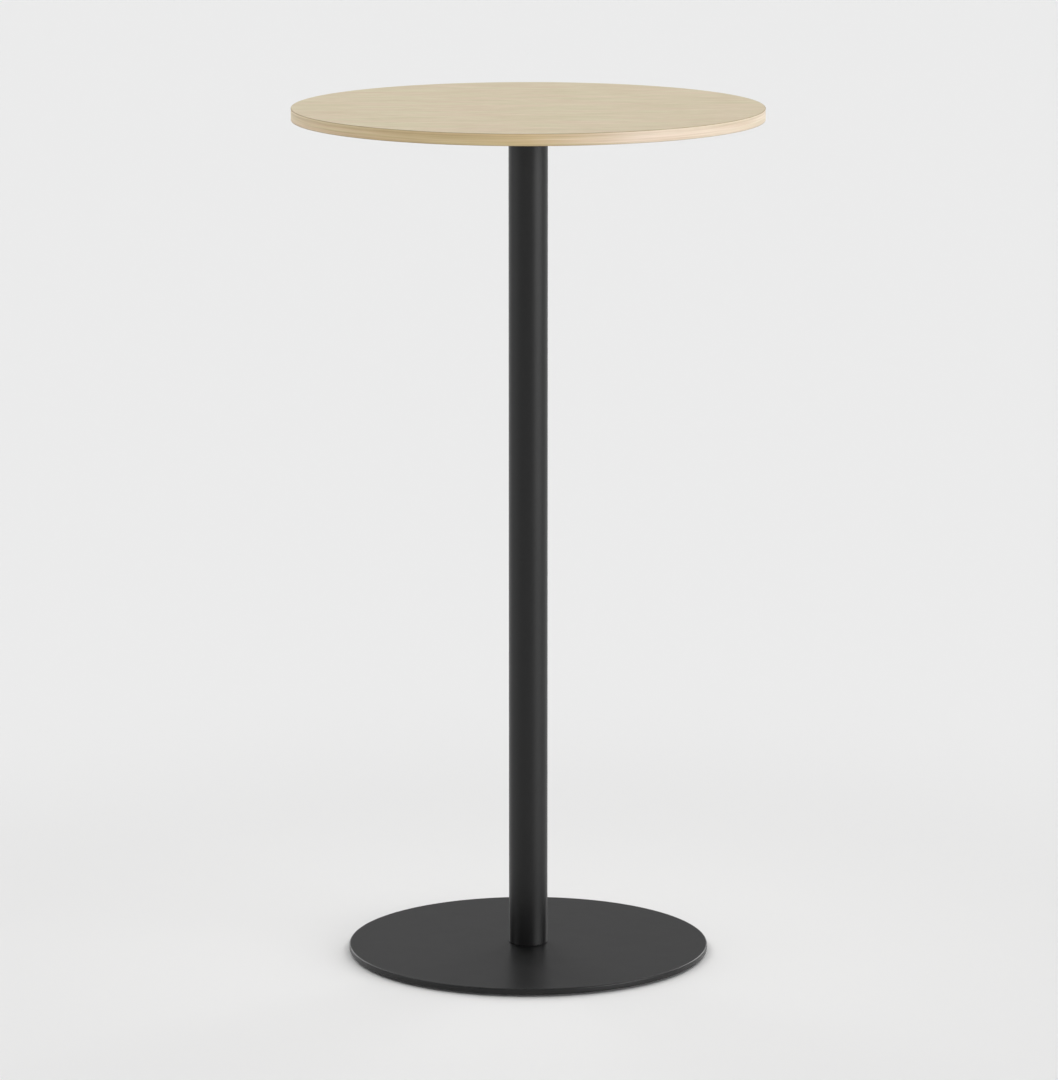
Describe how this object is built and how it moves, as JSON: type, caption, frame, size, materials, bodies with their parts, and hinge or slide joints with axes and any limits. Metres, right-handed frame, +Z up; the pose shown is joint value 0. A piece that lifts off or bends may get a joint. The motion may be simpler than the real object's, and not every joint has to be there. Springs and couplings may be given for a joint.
{
  "type": "standing meeting table",
  "caption": "Round bar-height standing table: veneered disc top on a slim round column with a flat disc base and screw-adjusted levelling glides.",
  "frame": {"origin": "on the floor at the column's axis, with the glides screwed fully in", "axes": "+Z up along the column; the face veneer's grain runs along X; the first glide and the first screws lie on +X"},
  "size_m": [0.5999, 0.6, 1.1],
  "materials": {
    "top_veneer": "pale oak veneer, matt lacquer",
    "edge_lipping": "pale oak lipping, matt lacquer, grain along the edge",
    "backing_veneer": "pale oak balancing veneer, matt lacquer",
    "core_board": "fibreboard, bare",
    "black_powder_coat": "satin black powder coat",
    "black_zinc": "black zinc plate",
    "bare_steel": "turned steel",
    "zinc_steel": "bright zinc plate",
    "black_rubber": "matt",
    "black_nylon": "moulded nylon, fine grain"
  },
  "bodies": {
    "table": {"face_veneer": "top_veneer", "core_board": "core_board", "edge_band": "edge_lipping", "backing_veneer": "backing_veneer", "threaded_inserts": "zinc_steel", "mounting_plate": "black_powder_coat", "mounting_washers": "black_zinc", "mounting_screws": "black_zinc", "column_head_screws": "black_zinc", "upper_plug": "bare_steel", "column_tube": "black_powder_coat", "lower_plug": "bare_steel", "foot_gasket": "black_rubber", "base_plate": "black_powder_coat", "column_foot_screws": "black_zinc"},
    "glide_pad_1": {"glide_pad_1": "black_nylon"},
    "glide_stud_1": {"glide_stud_1": "zinc_steel"},
    "glide_pad_2": {"glide_pad_2": "black_nylon"},
    "glide_stud_2": {"glide_stud_2": "zinc_steel"},
    "glide_pad_3": {"glide_pad_3": "black_nylon"},
    "glide_stud_3": {"glide_stud_3": "zinc_steel"},
    "glide_pad_4": {"glide_pad_4": "black_nylon"},
    "glide_stud_4": {"glide_stud_4": "zinc_steel"},
    "glide_pad_5": {"glide_pad_5": "black_nylon"},
    "glide_stud_5": {"glide_stud_5": "zinc_steel"}
  },
  "joints": [
    {"name": "glide_1_height", "type": "slide", "parent": "table", "child": "glide_pad_1", "axis": [0, 0, -1], "range_m": [0, 0.003]},
    {"name": "glide_1_turn", "type": "hinge", "parent": "glide_pad_1", "child": "glide_stud_1", "pos_m": [0.205, 0, 0.003], "axis": [0, 0, -1], "range_deg": [0, 1081]},
    {"name": "glide_2_height", "type": "slide", "parent": "table", "child": "glide_pad_2", "axis": [0, 0, -1], "range_m": [0, 0.003]},
    {"name": "glide_2_turn", "type": "hinge", "parent": "glide_pad_2", "child": "glide_stud_2", "pos_m": [0.06335, 0.19497, 0.003], "axis": [0, 0, -1], "range_deg": [0, 1081]},
    {"name": "glide_3_height", "type": "slide", "parent": "table", "child": "glide_pad_3", "axis": [0, 0, -1], "range_m": [0, 0.003]},
    {"name": "glide_3_turn", "type": "hinge", "parent": "glide_pad_3", "child": "glide_stud_3", "pos_m": [-0.16585, 0.1205, 0.003], "axis": [0, 0, -1], "range_deg": [0, 1081]},
    {"name": "glide_4_height", "type": "slide", "parent": "table", "child": "glide_pad_4", "axis": [0, 0, -1], "range_m": [0, 0.003]},
    {"name": "glide_4_turn", "type": "hinge", "parent": "glide_pad_4", "child": "glide_stud_4", "pos_m": [-0.16585, -0.1205, 0.003], "axis": [0, 0, -1], "range_deg": [0, 1081]},
    {"name": "glide_5_height", "type": "slide", "parent": "table", "child": "glide_pad_5", "axis": [0, 0, -1], "range_m": [0, 0.003]},
    {"name": "glide_5_turn", "type": "hinge", "parent": "glide_pad_5", "child": "glide_stud_5", "pos_m": [0.06335, -0.19497, 0.003], "axis": [0, 0, -1], "range_deg": [0, 1081]}
  ],
  "couplings": [
    {"joint": "glide_1_turn", "follows": "glide_1_height", "rad_per_m": 6283.2},
    {"joint": "glide_2_turn", "follows": "glide_2_height", "rad_per_m": 6283.2},
    {"joint": "glide_3_turn", "follows": "glide_3_height", "rad_per_m": 6283.2},
    {"joint": "glide_4_turn", "follows": "glide_4_height", "rad_per_m": 6283.2},
    {"joint": "glide_5_turn", "follows": "glide_5_height", "rad_per_m": 6283.2}
  ]
}
